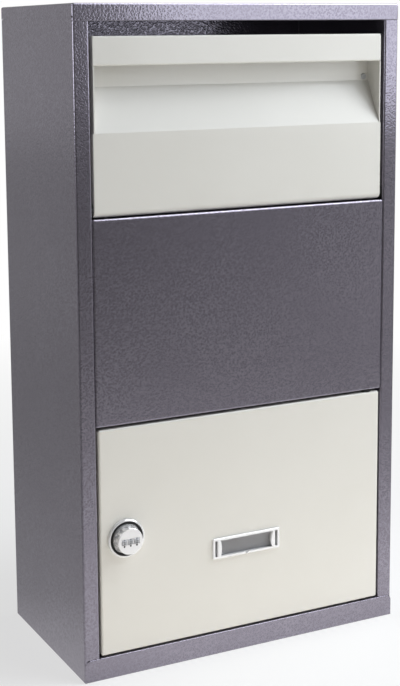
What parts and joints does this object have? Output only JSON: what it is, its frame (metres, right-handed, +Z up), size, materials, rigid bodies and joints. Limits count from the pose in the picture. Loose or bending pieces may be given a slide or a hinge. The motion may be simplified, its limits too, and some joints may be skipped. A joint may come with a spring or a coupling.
{
  "type": "wall mounted mailbox",
  "caption": "Tall folded-steel wall mailbox: sprung tilting parcel flap with a finger recess, fixed middle panel, hinged lower door with dial cam lock and framed label.",
  "frame": {"origin": "centre of the four wall holes, on the outer face of the back panel", "axes": "+X to the right seen from the front, +Y towards the wall, +Z up"},
  "size_m": [0.3294, 0.1866, 0.6],
  "materials": {
    "hammertone": "glossy hammertone charcoal paint",
    "cream_coat": "smooth cream powder coat",
    "chrome": "polished",
    "zinc": "zinc plated",
    "spring_wire": "drawn spring wire",
    "nylon": "black nylon",
    "rubber": "matt",
    "card": "uncoated grey card",
    "window": "clear plastic sheet",
    "dial": "satin nickel plate, black numbers"
  },
  "bodies": {
    "cabinet": {"left_side_panel": "hammertone", "right_side_panel": "hammertone", "back_panel": "hammertone", "top_cap": "hammertone", "bottom_tray": "hammertone", "mid_panel": "hammertone", "mid_panel_rivets": "zinc", "flap_hinge_rod": "zinc", "flap_hinge_bushes": "nylon", "flap_rod_clips": "zinc", "flap_spring_left": "spring_wire", "flap_spring_right": "spring_wire", "flap_stop_studs": "zinc", "flap_stop_sleeves": "rubber", "door_hinge_washers": "nylon", "door_strike": "hammertone", "strike_rivets": "zinc"},
    "flap": {"flap_front": "cream_coat", "flap_left_cheek": "cream_coat", "flap_right_cheek": "cream_coat", "flap_rivets": "zinc"},
    "door": {"door_panel": "cream_coat", "door_hinge_pin_upper": "zinc", "door_hinge_pin_lower": "zinc", "lock_housing": "chrome", "lock_seal": "rubber", "lock_washer": "zinc", "lock_nut": "zinc", "label_holder": "chrome", "label_card": "card", "label_window": "window"},
    "knob": {"lock_knob": "chrome", "dial_axle": "zinc", "lock_cam": "zinc", "cam_screw": "zinc"},
    "wheel_left": {"number_wheel_left": "dial"},
    "wheel_middle": {"number_wheel_middle": "dial"},
    "wheel_right": {"number_wheel_right": "dial"}
  },
  "joints": [
    {"name": "flap_tilt", "type": "hinge", "parent": "cabinet", "child": "flap", "pos_m": [0, -0.1675, 0.1235], "axis": [1, 0, 0], "range_deg": [0, 40], "stiffness_Nm_per_rad": 0.5, "springref_deg": -28.65, "deforming": ["flap_spring_left", "flap_spring_right"]},
    {"name": "door_swing", "type": "hinge", "parent": "cabinet", "child": "door", "pos_m": [0.1357, -0.1691, 0], "axis": [0, 0, 1], "range_deg": [0, 110]},
    {"name": "knob_turn", "type": "hinge", "parent": "door", "child": "knob", "pos_m": [-0.123, -0.175, -0.1711], "axis": [0, -1, 0], "range_deg": [0, 90]},
    {"name": "wheel_left_spin", "type": "hinge", "parent": "knob", "child": "wheel_left", "pos_m": [-0.129, -0.1824, -0.1711], "axis": [1, 0, 0], "continuous": true},
    {"name": "wheel_middle_spin", "type": "hinge", "parent": "knob", "child": "wheel_middle", "pos_m": [-0.123, -0.1824, -0.1711], "axis": [1, 0, 0], "continuous": true},
    {"name": "wheel_right_spin", "type": "hinge", "parent": "knob", "child": "wheel_right", "pos_m": [-0.117, -0.1824, -0.1711], "axis": [1, 0, 0], "continuous": true}
  ]
}
